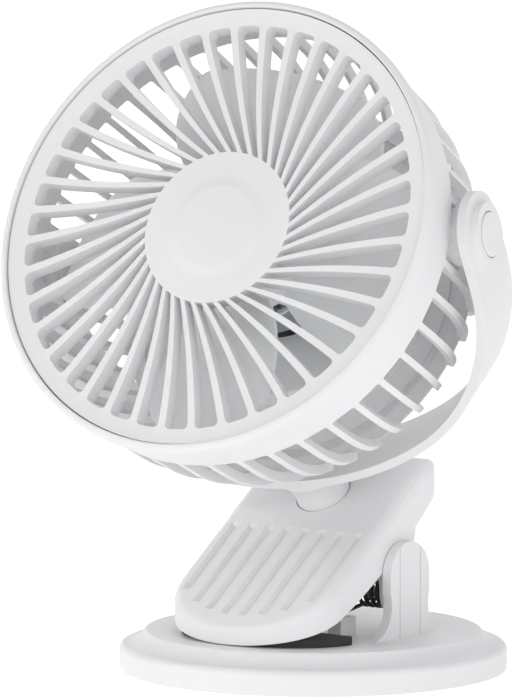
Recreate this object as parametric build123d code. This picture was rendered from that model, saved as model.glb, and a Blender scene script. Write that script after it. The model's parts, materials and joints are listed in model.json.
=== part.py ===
"""Clip fan: a round fan head tilting in a U-shaped yoke, which swivels on the upper jaw of a spring clip that
stands on a round base.

Millimetres. The origin is the middle of the base's underside, +Z is up and the clip's mouth faces -Y. The
clip's hinge lies along X. Head pieces are drawn about the tilt pivot with local Z along the air flow, yoke
pieces about the same point with local Z along the swivel axis, both with local X along the tilt axis.
"""

from build123d import *
import os
from math import asin, atan2, ceil, cos, degrees, hypot, pi, radians, sin, sqrt, tan

os.makedirs("parts", exist_ok=True)

# ---- Stance: where the axes lie and how the fan is posed ------------------------------------------------------
HINGE_Y = 4.7
HINGE_Z = 25.0
SEAT_Y = 6.2
SEAT_Z = 53.4
SWIVEL_LEAN = 26.1
SWIVEL_TURN = 12.5
HEAD_TILT = 48.6

# ---- Clearances -----------------------------------------------------------------------------------------------
RUNNING_FIT = 0.05
SCREW_FIT = 0.05
SLIDE_FIT = 0.12
SEAM = 0.15
SOFT_GAP = 0.35
FACE_GAP = 0.1
SOFT_ROUND = 0.5

# ---- Base -----------------------------------------------------------------------------------------------------
BASE_RADIUS = 61.5
BASE_LIFT = 0.3
BASE_WALL_TOP = 6.2
BASE_TOP_RADIUS = 53.7
BASE_TOP = 12.3
BASE_WALL = 2.2
BASE_EDGE_ROUND = 2.0
BASE_SHOULDER_RUN = 2.0
BASE_SHOULDER_RISE = 1.2
BASE_LIP_ROUND = 0.8
BASE_ROOF = 2.5
BASE_STEP_Z = BASE_WALL_TOP + BASE_EDGE_ROUND
COVER_THICKNESS = 3.0
FOOT_RADIUS = 56.0
FOOT_THICKNESS = 1.6
BASE_SCREW_CIRCLE = 40.0
BASE_SCREW_COUNT = 4
SCREW_RADIUS = 1.4
SCREW_HEAD_RADIUS = 2.6
SCREW_HEAD_HEIGHT = 1.0
SCREW_BOSS_RADIUS = 3.5
SCREW_TIP_COVER = 1.2
SCREW_END_ROOM = 0.3
DRIVE_WIDTH = 0.6
DRIVE_LENGTH = 2.6
DRIVE_DEPTH = 0.6

# ---- Ears, hinge pin and springs ------------------------------------------------------------------------------
EAR_GAP = 0.3
EAR_THICKNESS = 3.2
EAR_HALF_WIDTH = 10.5
EAR_TOP = 42.0
EAR_FLARE_RISE = 14.0
EAR_TOE = 8.0
EAR_HEEL = 2.0
EAR_FLARE_SAG = 0.24
EAR_GROOVE_OFFSET = 5.5
EAR_GROOVE_WIDTH = 0.9
EAR_GROOVE_DEPTH = 0.4
EAR_BOSS_DEPTH = 0.9
EAR_BOSS_RADIUS = 6.5
EAR_BACK_STEP = 0.2
SINK = 0.8
PIN_RADIUS = 2.0
PIN_END_COVER = 1.2
WIRE_RADIUS = 0.65
COIL_RADIUS = 4.35
COIL_PITCH = 2.4
COIL_TURNS = 4
COIL_INNER_X = 15.8
BASE_LEG_ANGLE = -82.0
JAW_LEG_ANGLE = -17.5
BASE_LEG_LENGTH = 14.5
JAW_LEG_LENGTH = 17.0
LEDGE_LENGTH = 8.0
LEDGE_HALF_WIDTH = 2.5
LEDGE_LEAD = 1.0
PIN_END_ROOM = 0.2

# ---- Upper jaw ------------------------------------------------------------------------------------------------
JAW_HALF_WIDTH = 31.0
JAW_WALL = 2.2
JAW_TOP_THICKNESS = 2.4
JAW_SLOPE = 35.9
JAW_RIB_END_Y = -8.4
JAW_RIB_END_Z = 45.0
JAW_FRONT_Y = -46.5
JAW_FRONT_DEPTH = 19.5
JAW_FRONT_RIM_Z = 12.6
JAW_RIM_RADIUS = 207.0
JAW_REAR_RIM_Y = 21.4
JAW_REAR_RIM_Z = 53.3
JAW_NOSE_LENGTH = 38.0
JAW_NOSE_BULGE = 4.8
JAW_REAR_CORNER = 11.0
JAW_EDGE_ROUND = 4.2
GROOVE_COUNT = 8
GROOVE_PITCH = 6.9
GROOVE_WIDTH = 3.4
GROOVE_WALL_RUN = 0.8
GROOVE_DEPTH = 0.9
GROOVE_MARGIN = 5.3
LUG_THICKNESS = 3.0
LUG_GAP = 0.5
LUG_RADIUS = 6.0
LUG_FRONT_REACH = 8.4
LUG_REAR_REACH = 12.0
PEG_RADIUS = 1.5
PEG_LENGTH = 3.0
PAD_THICKNESS = 3.0
PAD_PROUD = 0.8
JAW_PAD_FRONT = -41.0
JAW_PAD_REAR = -18.0
PAD_RIB_COUNT = 4
PAD_RIB_PITCH = 13.0
PAD_RIB_THICKNESS = 2.0

# ---- Lower pad ------------------------------------------------------------------------------------------------
LOWER_PAD_HALF_WIDTH = 31.3
LOWER_PAD_DEPTH = 22.0
LOWER_PAD_REAR_Y = -22.0
LOWER_PAD_THICKNESS = 2.8

# ---- Swivel ---------------------------------------------------------------------------------------------------
COLLAR_FOOT_RADIUS = 8.8
COLLAR_TOP_RADIUS = 12.6
COLLAR_STRAIGHT = 2.4
COLLAR_NECK_FLARE = 0.7
COLLAR_NECK_RISE = 5.6
COLLAR_HEIGHT = 9.6
SEAT_RADIUS = COLLAR_FOOT_RADIUS + 0.3
SWIVEL_BOSS_RADIUS = 11.6
SWIVEL_FLOOR = 6.0
SWIVEL_WASHER_THICKNESS = 0.5
SHOULDER_RADIUS = 3.0
THREAD_RADIUS = 2.0
THREAD_LENGTH = 7.5
SWIVEL_HEAD_RADIUS = 5.2
SWIVEL_HEAD_HEIGHT = 2.6
SWIVEL_SOCKET_RADIUS = 1.8
SWIVEL_SOCKET_DEPTH = 1.6
STEEL_WASHER_RADIUS = 7.0
STEEL_WASHER_THICKNESS = 1.0

# ---- Fan head -------------------------------------------------------------------------------------------------
RING_RADIUS = 73.0
RING_WALL = 2.25
RING_FRONT = 28.7
RING_ROUND = 1.8
RING_LIP_DROP = 0.3
RING_STEP = 1.0
HOUSING_FRONT = 24.9
HOUSING_FRONT_RADIUS = RING_RADIUS - RING_STEP
HOUSING_WAIST_RADIUS = HOUSING_FRONT_RADIUS - 0.5
HOUSING_RADIUS = HOUSING_FRONT_RADIUS - 0.8
HOUSING_WALL = 3.0
HOUSING_SHOULDER = -34.0
HOUSING_REAR = -38.0
HOUSING_REAR_RADIUS = HOUSING_RADIUS - 13.7
WINDOW_COUNT = 44
WINDOW_PHASE = -1.4
WINDOW_FRONT = 10.0
WINDOW_REAR = -33.0
WINDOW_ROUND = 1.0
SIDE_RIB_WIDTH = 2.0
SHOULDER_BULGE = 0.9
SHOULDER_DROP = 0.7
SCALLOP_LAP = 1.5
RIB_STAND = 2.0
REAR_RING_INNER = HOUSING_REAR_RADIUS - 1.7
REAR_PLATE_RADIUS = REAR_RING_INNER - 6.3
REAR_GROOVE_RADIUS = REAR_PLATE_RADIUS + 2.6
REAR_GROOVE_WIDTH = 1.2
REAR_GROOVE_DEPTH = 0.5
COMPARTMENT_RADIUS = 36.0
TONGUE_OUTER = HOUSING_FRONT_RADIUS - 0.5
TONGUE_INNER = TONGUE_OUTER - 0.4
TONGUE_DEPTH = 1.2

GRILLE_RIM_FRONT = 27.5
GRILLE_RIM_UNDER = 0.4
GRILLE_RIM_SEAM = 0.4
SLOT_OUTER_RADIUS = RING_RADIUS - RING_WALL - 5.4
SLOT_OUTER_FRONT = 26.15
HUB_RADIUS = 24.5
HUB_FRONT = 23.9
HUB_THICKNESS = 2.2
RIB_DEPTH = 5.0
GRILLE_SKIRT_DEPTH = 5.0
GRILLE_WALL = 1.6
SLOT_COUNT = 40
RIB_START_ANGLE = 5.1
RIB_MIDDLE_RADIUS = 44.0
RIB_MIDDLE_ANGLE = 22.1
RIB_END_ANGLE = 26.9
RIB_INNER_WIDTH = 1.3
RIB_MIDDLE_WIDTH = 1.9
RIB_OUTER_WIDTH = 2.4
SLOT_CORNER = 1.6
CAP_DISC_RADIUS = 15.0
CAP_DISC_RAISE = 0.8
CAP_DISC_SEAT = 0.8

# ---- Tilt pivot -----------------------------------------------------------------------------------------------
STUD_RADIUS = 5.0
STUD_BORE_RADIUS = 3.0
STUD_FLANGE_RADIUS = 7.5
STUD_FLANGE_THICKNESS = 1.8
PAD_RADIUS = 9.5
PAD_FACE = HOUSING_RADIUS + 2.3
INNER_BOSS_FACE = HOUSING_RADIUS - 6.6
WASHER_RADIUS = 9.0
WASHER_THICKNESS = 1.4

# ---- Yoke -----------------------------------------------------------------------------------------------------
YOKE_THICKNESS = 2.8
YOKE_WIDTH = 26.8
YOKE_DROP = RING_RADIUS + 3.4
YOKE_BOTTOM_ARC = 1.31 * YOKE_DROP
ARM_STRAIGHT = 12.0
BOSS_RADIUS = YOKE_WIDTH / 2
BOSS_INNER = PAD_FACE + WASHER_THICKNESS + FACE_GAP
BOSS_FACE = BOSS_INNER + YOKE_THICKNESS
PLATEAU_RADIUS = 9.8
PLATEAU_RISE = 2.4
CAP_RADIUS = 6.8
CAP_THICKNESS = 1.6
CAP_SEAT_DEPTH = 1.1
PIVOT_RISE = YOKE_DROP + 11.3

# ---- Impeller -------------------------------------------------------------------------------------------------
BLADE_COUNT = 4
BLADE_PHASE = 78.0
BLADE_TIP_RADIUS = HOUSING_RADIUS - 11.7
BLADE_THICKNESS = 1.5
BLADE_ROOT_PITCH = 36.0
BLADE_TIP_PITCH = 20.0
BLADE_MID_Z = 1.5
BLADE_LEAD_CORNER = 16.0
BLADE_TRAIL_CORNER = 5.0
BLADE_MIDDLE_RADIUS = 42.0
BLADE_OVERREACH = 4.0
BLADE_HALF_DEPTH = 20.0
TRAIL_ANGLES = (42.0, 42.0, 21.0)
LEAD_ANGLES = (-42.0, -38.0, -26.0)
IMPELLER_HUB_RADIUS = 16.5
IMPELLER_HUB_REAR = -6.5
IMPELLER_HUB_FRONT = 13.0
IMPELLER_HUB_WALL = 1.8
IMPELLER_HUB_ROUND = 3.0
BORE_BOSS_RADIUS = 4.0
SHAFT_RADIUS = 1.5

# ---- Motor and its bracket ------------------------------------------------------------------------------------
MOTOR_RADIUS = 18.5
MOTOR_FRONT = -9.0
MOTOR_SPLIT = -20.5
POT_FRONT = -24.6
POT_THICKNESS = 2.0
POT_WALL = 2.0
POT_FLANGE_RADIUS = 46.0
MOTOR_NOSE_RADIUS = 5.0
MOTOR_NOSE_HEIGHT = 1.5
MOTOR_SCREW_CIRCLE = 12.5

# ---- Rear cover and what it holds -----------------------------------------------------------------------------
REAR_COVER_FACE = -49.0
REAR_COVER_WALL = 2.2
REAR_COVER_ROUND = 5.0
REAR_FLANGE_RADIUS = 45.5
REAR_FLANGE_THICKNESS = 2.4
REAR_SCREW_CIRCLE = 41.5
REAR_SCREW_COUNT = 4
REAR_SCREW_LENGTH = 9.0
BATTERY_RADIUS = 9.2
BATTERY_LENGTH = 65.0
BATTERY_TERMINAL_RADIUS = 3.0
BATTERY_TERMINAL_HEIGHT = 1.2
BOARD_WIDTH = 34.0
BOARD_TOP_Y = -11.0
BOARD_BOTTOM_Y = -30.0
BOARD_THICKNESS = 1.6
BOARD_STANDOFF = 4.8
SWITCH_Y = -19.0
SWITCH_SIZE = 6.0
SWITCH_STEM_RADIUS = 1.7
BUTTON_RADIUS = 5.4
BUTTON_PROUD = 1.0
BUTTON_TRAVEL = 0.8
BUTTON_FLANGE = 0.8
BUTTON_FLANGE_LIP = 1.1
LED_X = 12.0
LED_RADIUS = 1.5
USB_WIDTH = 9.0
USB_HEIGHT = 3.2
USB_DEPTH = 7.3
USB_SKIN = 0.3
POST_X = 13.5
POST_Y = -25.5
POST_RADIUS = 2.0

# ---- Frames ---------------------------------------------------------------------------------------------------
SWIVEL_AXIS = Vector(0, -sin(radians(SWIVEL_LEAN)), cos(radians(SWIVEL_LEAN)))
SEAT = Vector(0, SEAT_Y, SEAT_Z)
PIVOT = SEAT + SWIVEL_AXIS * PIVOT_RISE
HINGE_AXIS = Vector(1, 0, 0)
TILT_AXIS = HINGE_AXIS * cos(radians(SWIVEL_TURN)) + SWIVEL_AXIS.cross(HINGE_AXIS) * sin(radians(SWIVEL_TURN))
YOKE_FORWARD = TILT_AXIS.cross(SWIVEL_AXIS)
FLOW_AXIS = YOKE_FORWARD * cos(radians(HEAD_TILT)) + SWIVEL_AXIS * sin(radians(HEAD_TILT))
YOKE_FRAME = Plane(origin=PIVOT, x_dir=TILT_AXIS, z_dir=SWIVEL_AXIS).location
HEAD_FRAME = Plane(origin=PIVOT, x_dir=TILT_AXIS, z_dir=FLOW_AXIS).location
SEAT_FRAME = Plane(origin=SEAT, x_dir=HINGE_AXIS, z_dir=SWIVEL_AXIS).location


# ---- Helpers --------------------------------------------------------------------------------------------------
def polar(radius, angle):
    return (radius * cos(radians(angle)), radius * sin(radians(angle)))


def rod(radius, low, high, x=0.0, y=0.0):
    """Cylinder along local Z from low to high."""
    return Pos(x, y, (low + high) / 2) * Cylinder(radius, high - low)


def tube(outer, inner, low, high, x=0.0, y=0.0):
    return rod(outer, low, high, x, y) - rod(inner, low - 1, high + 1, x, y)


def cross_rod(radius, low, high, y=0.0, z=0.0):
    """Cylinder along X from low to high."""
    return Pos((low + high) / 2, y, z) * Rot(0, 90, 0) * Cylinder(radius, high - low)


def block(x0, x1, y0, y1, z0, z1):
    centre = ((x0 + x1) / 2, (y0 + y1) / 2, (z0 + z1) / 2)
    return Pos(*centre) * Box(x1 - x0, y1 - y0, z1 - z0)


def turned(points):
    """Solid of revolution about Z from a closed polygon of (radius, height)."""
    return revolve(make_face(Plane.XZ * Polyline(*points, close=True)), Axis.Z)


def side_slab(lines, x0, x1):
    """Solid between x0 and x1 whose outline is drawn as (y, z)."""
    outline = make_face([Plane.YZ * line for line in lines])
    return extrude(outline.moved(Location((x0, 0, 0))), x1 - x0, dir=(1, 0, 0))


def around(count, phase=0.0):
    return [phase + 360.0 * k / count for k in range(count)]


def save(shape, name, place=None):
    placed = shape if place is None else place * shape
    export_step(placed, f"parts/{name}.step")


# ---- Base -----------------------------------------------------------------------------------------------------
def base_disc():
    """Hollow turned disc: straight wall, rounded step and a hollow shoulder up to the flat top."""
    step_radius = BASE_RADIUS - BASE_EDGE_ROUND
    shoulder = (BASE_TOP_RADIUS + BASE_SHOULDER_RUN, BASE_STEP_Z + BASE_SHOULDER_RISE)
    lip = (BASE_TOP_RADIUS, BASE_TOP - BASE_LIP_ROUND)
    flat_radius = BASE_TOP_RADIUS - BASE_LIP_ROUND
    lines = [
        Line((0, BASE_LIFT), (BASE_RADIUS, BASE_LIFT)),
        Line((BASE_RADIUS, BASE_LIFT), (BASE_RADIUS, BASE_WALL_TOP)),
        RadiusArc((BASE_RADIUS, BASE_WALL_TOP), (step_radius, BASE_STEP_Z), -BASE_EDGE_ROUND),
        ThreePointArc((step_radius, BASE_STEP_Z), shoulder, lip),
        RadiusArc(lip, (flat_radius, BASE_TOP), -BASE_LIP_ROUND),
        Line((flat_radius, BASE_TOP), (0, BASE_TOP)),
        Line((0, BASE_TOP), (0, BASE_LIFT)),
    ]
    solid = revolve(make_face([Plane.XZ * line for line in lines]), Axis.Z)
    ceiling = BASE_TOP - BASE_ROOF
    inner = BASE_RADIUS - BASE_WALL
    hollow = turned([
        (0, BASE_LIFT - 1),
        (inner, BASE_LIFT - 1),
        (inner, BASE_WALL_TOP - BASE_EDGE_ROUND / 3),
        (BASE_TOP_RADIUS - BASE_WALL, ceiling),
        (0, ceiling),
    ])
    bosses = Part()
    for angle in around(BASE_SCREW_COUNT, 45):
        x, y = polar(BASE_SCREW_CIRCLE, angle)
        bosses += rod(SCREW_BOSS_RADIUS, BASE_LIFT + COVER_THICKNESS, ceiling + 0.5, x, y)
    solid = solid - hollow + bosses
    for angle in around(BASE_SCREW_COUNT, 45):
        x, y = polar(BASE_SCREW_CIRCLE, angle)
        solid -= rod(SCREW_RADIUS + SCREW_FIT, BASE_LIFT, screw_tip(), x, y)
    return solid


def screw_tip():
    """Height at which the holes for the base's screws end."""
    return BASE_TOP - BASE_ROOF - SCREW_TIP_COVER


EAR_INNER = JAW_HALF_WIDTH + EAR_GAP
EAR_OUTER = EAR_INNER + EAR_THICKNESS
EAR_CENTRE_Y = HINGE_Y - EAR_BACK_STEP


def ear(side):
    """Tombstone plate outside the jaw, flaring into the base, with two grooves and the pin's boss inside it."""
    low = BASE_TOP - SINK
    flare_top = BASE_TOP + EAR_FLARE_RISE
    sag = BASE_TOP + EAR_FLARE_SAG * EAR_FLARE_RISE
    left = EAR_CENTRE_Y - EAR_HALF_WIDTH
    right = EAR_CENTRE_Y + EAR_HALF_WIDTH
    toe, heel = left - EAR_TOE, right + EAR_HEEL
    arch = EAR_TOP - EAR_HALF_WIDTH
    plate = side_slab([
        Line((toe, low), (toe, BASE_TOP)),
        ThreePointArc((toe, BASE_TOP), (left - EAR_FLARE_SAG * EAR_TOE, sag), (left, flare_top)),
        Line((left, flare_top), (left, arch)),
        ThreePointArc((left, arch), (EAR_CENTRE_Y, EAR_TOP), (right, arch)),
        Line((right, arch), (right, flare_top)),
        ThreePointArc((right, flare_top), (right + EAR_FLARE_SAG * EAR_HEEL, sag), (heel, BASE_TOP)),
        Line((heel, BASE_TOP), (heel, low)),
        Line((heel, low), (toe, low)),
    ], EAR_INNER, EAR_OUTER)
    groove = EAR_GROOVE_WIDTH / 2
    floor = EAR_OUTER - EAR_GROOVE_DEPTH
    for offset in (-EAR_GROOVE_OFFSET, EAR_GROOVE_OFFSET):
        y = EAR_CENTRE_Y + offset
        plate -= block(floor, EAR_OUTER + 1, y - groove, y + groove, low - 1, EAR_TOP)
    plate += cross_rod(EAR_BOSS_RADIUS, EAR_INNER - EAR_BOSS_DEPTH, EAR_OUTER - EAR_THICKNESS / 2, HINGE_Y, HINGE_Z)
    plate -= cross_rod(PIN_RADIUS + SCREW_FIT, 0, EAR_OUTER - PIN_END_COVER, HINGE_Y, HINGE_Z)
    return plate if side > 0 else mirror(plate, Plane.YZ)


def leg_direction(angle, sign):
    return Vector(0, -sign * sin(radians(angle)), sign * cos(radians(angle)))


def coil_point(x, angle):
    return Vector(x, HINGE_Y + COIL_RADIUS * cos(radians(angle)), HINGE_Z + COIL_RADIUS * sin(radians(angle)))


def spring_ledges():
    """Two low ledges on the base's top that the forward legs of the springs press on."""
    foot = coil_point(COIL_INNER_X, BASE_LEG_ANGLE) + leg_direction(BASE_LEG_ANGLE, -1) * BASE_LEG_LENGTH
    top = foot.Z - WIRE_RADIUS - FACE_GAP
    ledges = Part()
    for side in (-1, 1):
        x = side * COIL_INNER_X
        front = foot.Y - LEDGE_LEAD
        low = BASE_TOP - SINK
        ledges += block(x - LEDGE_HALF_WIDTH, x + LEDGE_HALF_WIDTH, front, front + LEDGE_LENGTH, low, top)
    return ledges


def base_shell():
    return base_disc() + ear(1) + ear(-1) + spring_ledges()


def base_cover():
    top = BASE_LIFT + COVER_THICKNESS
    plate = rod(BASE_RADIUS - BASE_WALL - SEAM, BASE_LIFT, top)
    plate -= rod(FOOT_RADIUS + SEAM, BASE_LIFT - 1, FOOT_THICKNESS)
    for angle in around(BASE_SCREW_COUNT, 45):
        x, y = polar(BASE_SCREW_CIRCLE, angle)
        plate -= rod(SCREW_RADIUS + SLIDE_FIT, BASE_LIFT - 1, top + 1, x, y)
        plate -= rod(SCREW_HEAD_RADIUS + SLIDE_FIT, BASE_LIFT, FOOT_THICKNESS + SCREW_HEAD_HEIGHT, x, y)
    return plate


def foot_pad():
    return rod(FOOT_RADIUS, 0, FOOT_THICKNESS)


def driven_screw(head_face, tip):
    """Screw along +Z: its head starts at head_face and its shank ends at tip."""
    body = rod(SCREW_HEAD_RADIUS, head_face, head_face + SCREW_HEAD_HEIGHT)
    body += rod(SCREW_RADIUS, head_face + SCREW_HEAD_HEIGHT, tip)
    for turn in (0, 90):
        body -= Pos(0, 0, head_face) * Rot(0, 0, turn) * Box(DRIVE_LENGTH, DRIVE_WIDTH, 2 * DRIVE_DEPTH)
    return body


def base_screws():
    screw = driven_screw(FOOT_THICKNESS, screw_tip() - SCREW_END_ROOM)
    places = [polar(BASE_SCREW_CIRCLE, angle) for angle in around(BASE_SCREW_COUNT, 45)]
    return Compound(children=[Pos(x, y, 0) * screw for x, y in places])


def lower_jaw_pad():
    """D-shaped rubber pad on the base's top, straight behind and half an ellipse in front."""
    half = LOWER_PAD_HALF_WIDTH
    nose = EllipticalCenterArc((0, LOWER_PAD_REAR_Y), half, LOWER_PAD_DEPTH, 180, arc_size=180)
    back = Line((half, LOWER_PAD_REAR_Y), (-half, LOWER_PAD_REAR_Y))
    pad = extrude(Pos(0, 0, BASE_TOP) * make_face([nose, back]), LOWER_PAD_THICKNESS)
    return fillet(pad.edges().group_by(Axis.Z)[-1], SOFT_ROUND)


def hinge_pin():
    reach = EAR_OUTER - PIN_END_COVER - PIN_END_ROOM
    return cross_rod(PIN_RADIUS, -reach, reach, HINGE_Y, HINGE_Z)


def biarc(start, start_way, end, end_way):
    """Two tangent arcs from start to end that leave and arrive along the given directions."""
    gap = end - start
    both = start_way + end_way
    spread = 2 * (1 - start_way.dot(end_way))
    reach = gap.dot(both)
    length = (sqrt(reach * reach + spread * gap.dot(gap)) - reach) / spread
    middle = (start + end + (start_way - end_way) * length) * 0.5
    middle_way = (end - end_way * length - start - start_way * length).normalized()
    first = TangentArc(start, middle, tangent=start_way)
    second = TangentArc(middle, end, tangent=middle_way)
    return [first, second]


def torsion_spring():
    """Right-hand spring on the hinge pin: coil swept along quarter-turn biarcs, with two straight legs."""
    sweep_angle = JAW_LEG_ANGLE - BASE_LEG_ANGLE + 360.0 * COIL_TURNS
    spans = ceil(sweep_angle / 90.0)
    step = sweep_angle / spans
    climb = COIL_PITCH / (2 * pi * COIL_RADIUS)

    def place(k):
        return coil_point(COIL_INNER_X + COIL_PITCH * step * k / 360.0, BASE_LEG_ANGLE + step * k)

    def way(k):
        flat = leg_direction(BASE_LEG_ANGLE + step * k, 1)
        lead = climb if 0 < k < spans else 0.0
        return (flat + Vector(lead, 0, 0)).normalized()

    base_end = place(0) - way(0) * BASE_LEG_LENGTH
    jaw_end = place(spans) + way(spans) * JAW_LEG_LENGTH
    path = [Line(base_end, place(0))]
    for k in range(spans):
        path += biarc(place(k), way(k), place(k + 1), way(k + 1))
    path.append(Line(place(spans), jaw_end))
    section = Plane(origin=base_end, z_dir=way(0)) * Circle(WIRE_RADIUS)
    report_spring_gap(spans, step)
    return sweep(section, path=Wire([line.edge() for line in path]))


def report_spring_gap(spans, step):
    """Prints the least gap between turns of the spring, measured on points of its centre line."""
    fine = 12
    count = spans * fine
    points = []
    for k in range(count + 1):
        angle = step * k / fine
        points.append((angle, coil_point(COIL_INNER_X + COIL_PITCH * angle / 360.0, BASE_LEG_ANGLE + angle)))
    gaps = [(b - a).length for i, (s, a) in enumerate(points) for t, b in points[i + 1:] if t - s > 180]
    print(f"torsion spring: least gap to itself {min(gaps) - 2 * WIRE_RADIUS:.2f} mm")


# ---- Upper jaw ------------------------------------------------------------------------------------------------
SLOPE = tan(radians(JAW_SLOPE))
DROP = 1 / cos(radians(JAW_SLOPE))


def top_z(y, depth=0.0):
    """Height of the jaw's sloping top at y, depth below its surface."""
    return JAW_RIB_END_Z + (y - JAW_RIB_END_Y) * SLOPE - depth * DROP


def rim_circle():
    """Centre of the large arc that the jaw's lower rim follows."""
    run = JAW_REAR_RIM_Y - JAW_FRONT_Y
    rise = JAW_REAR_RIM_Z - JAW_FRONT_RIM_Z
    chord = hypot(run, rise)
    lift = sqrt(JAW_RIM_RADIUS ** 2 - (chord / 2) ** 2)
    return (JAW_FRONT_Y + run / 2 - rise / chord * lift, JAW_FRONT_RIM_Z + rise / 2 + run / chord * lift)


def rim_point(y, proud=0.0):
    """Point of the rim at y, moved proud of it (outward from the jaw)."""
    cy, cz = rim_circle()
    radius = JAW_RIM_RADIUS + proud
    return (y, cz - sqrt(radius ** 2 - (y - cy) ** 2))


def nose_points(inset):
    """Upper end, bulge and lower end of the jaw's rear nose, inset from the outside."""
    upper_y = JAW_RIB_END_Y + JAW_NOSE_LENGTH * cos(radians(JAW_SLOPE)) - inset
    upper = (upper_y, top_z(upper_y, inset))
    lower = (JAW_REAR_RIM_Y - inset, JAW_REAR_RIM_Z)
    bulge = ((upper[0] + lower[0]) / 2 + JAW_NOSE_BULGE, (upper[1] + lower[1]) / 2)
    return upper, bulge, lower


def jaw_plan(inset):
    """Plan of the jaw: half an ellipse in front, straight sides and rounded rear corners."""
    half = JAW_HALF_WIDTH - inset
    depth = JAW_FRONT_DEPTH - inset
    start = JAW_FRONT_Y + JAW_FRONT_DEPTH
    rear = JAW_REAR_RIM_Y + JAW_NOSE_BULGE + 4.0 - inset
    corner = JAW_REAR_CORNER - inset
    nose = EllipticalCenterArc((0, start), half, depth, 180, arc_size=180)
    lines = [
        nose,
        Line((half, start), (half, rear - corner)),
        RadiusArc((half, rear - corner), (half - corner, rear), -corner),
        Line((half - corner, rear), (corner - half, rear)),
        RadiusArc((corner - half, rear), (-half, rear - corner), -corner),
        Line((-half, rear - corner), (-half, start)),
    ]
    return extrude(make_face(lines), EAR_TOP * 2)


def jaw_block():
    upper, bulge, lower = nose_points(0)
    front_top = (JAW_FRONT_Y - 1, top_z(JAW_FRONT_Y - 1))
    front_low = rim_point(JAW_FRONT_Y - 1)
    side = side_slab([
        Line(front_low, front_top),
        Line(front_top, upper),
        ThreePointArc(upper, bulge, lower),
        ThreePointArc(lower, rim_point((JAW_FRONT_Y + JAW_REAR_RIM_Y) / 2), front_low),
    ], -JAW_HALF_WIDTH - 1, JAW_HALF_WIDTH + 1)
    solid = side & jaw_plan(0)
    crown = [edge for edge in solid.edges() if on_crown(edge)]
    return fillet(crown, JAW_EDGE_ROUND)


def on_crown(edge):
    """True for the edges that bound the jaw's sloping top."""
    points = [edge @ t for t in (0.0, 0.5, 1.0)]
    return all(abs(point.Z - top_z(point.Y)) < 0.05 for point in points)


def jaw_hollow():
    upper, bulge, lower = nose_points(JAW_TOP_THICKNESS)
    front = JAW_FRONT_Y - 5
    side = side_slab([
        Line((front, -5), (front, top_z(front, JAW_TOP_THICKNESS))),
        Line((front, top_z(front, JAW_TOP_THICKNESS)), upper),
        ThreePointArc(upper, bulge, lower),
        Line(lower, (lower[0], -5)),
        Line((lower[0], -5), (front, -5)),
    ], -JAW_HALF_WIDTH, JAW_HALF_WIDTH)
    return side & jaw_plan(JAW_WALL)


def pad_band(over, under, front, rear, half):
    """Curved slab that follows the rim, from over above it to under below it."""
    a, b = rim_point(front, -over), rim_point(rear, -over)
    c, d = rim_point(rear, under), rim_point(front, under)
    middle = (front + rear) / 2
    return side_slab([
        ThreePointArc(a, rim_point(middle, -over), b),
        Line(b, c),
        ThreePointArc(c, rim_point(middle, under), d),
        Line(d, a),
    ], -half, half)


def groove_cutters():
    """Straight grip grooves down the slope, aligned above and following the front's outline below."""
    cutters = Part()
    start = JAW_FRONT_Y + JAW_FRONT_DEPTH
    for k in range(GROOVE_COUNT):
        x = (k - (GROOVE_COUNT - 1) / 2) * GROOVE_PITCH
        edge = start - JAW_FRONT_DEPTH * sqrt(1 - (x / JAW_HALF_WIDTH) ** 2)
        length = (JAW_RIB_END_Y - edge - GROOVE_MARGIN) * DROP
        bar = Pos(x, -length / 2, 0) * Box(GROOVE_WIDTH, length, 2 * GROOVE_DEPTH)
        cutters += chamfer(bar.edges().group_by(Axis.Z)[0], GROOVE_WALL_RUN)
    normal = (0, -sin(radians(JAW_SLOPE)), cos(radians(JAW_SLOPE)))
    top = Plane(origin=(0, JAW_RIB_END_Y, JAW_RIB_END_Z), x_dir=(1, 0, 0), z_dir=normal)
    return top.location * cutters


def lug(side):
    """Web inside the jaw down to the hinge pin, with the peg that takes the spring's upper leg."""
    inner = EAR_INNER - EAR_BOSS_DEPTH - LUG_GAP - LUG_THICKNESS
    outer = inner + LUG_THICKNESS
    buried = JAW_TOP_THICKNESS / 2
    front = HINGE_Y - LUG_FRONT_REACH
    rear = HINGE_Y + LUG_REAR_REACH
    neck, nape = HINGE_Y - LUG_RADIUS, HINGE_Y + LUG_RADIUS
    web = side_slab([
        Line((front, top_z(front, buried)), (rear, top_z(rear, buried))),
        Line((rear, top_z(rear, buried)), (nape, HINGE_Z)),
        ThreePointArc((nape, HINGE_Z), (HINGE_Y, HINGE_Z - LUG_RADIUS), (neck, HINGE_Z)),
        Line((neck, HINGE_Z), (front, top_z(front, buried))),
    ], inner, outer)
    way = leg_direction(JAW_LEG_ANGLE, 1)
    across = Vector(0, -way.Z, way.Y)
    tip = coil_point(0, JAW_LEG_ANGLE) + way * (JAW_LEG_LENGTH - PEG_RADIUS - LEDGE_LEAD)
    peg = tip + across * (WIRE_RADIUS + PEG_RADIUS + FACE_GAP)
    web += cross_rod(PEG_RADIUS, inner - PEG_LENGTH, inner + 0.5, peg.Y, peg.Z)
    web -= cross_rod(PIN_RADIUS + RUNNING_FIT, inner - 1, outer + 1, HINGE_Y, HINGE_Z)
    return web if side > 0 else mirror(web, Plane.YZ)


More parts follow.
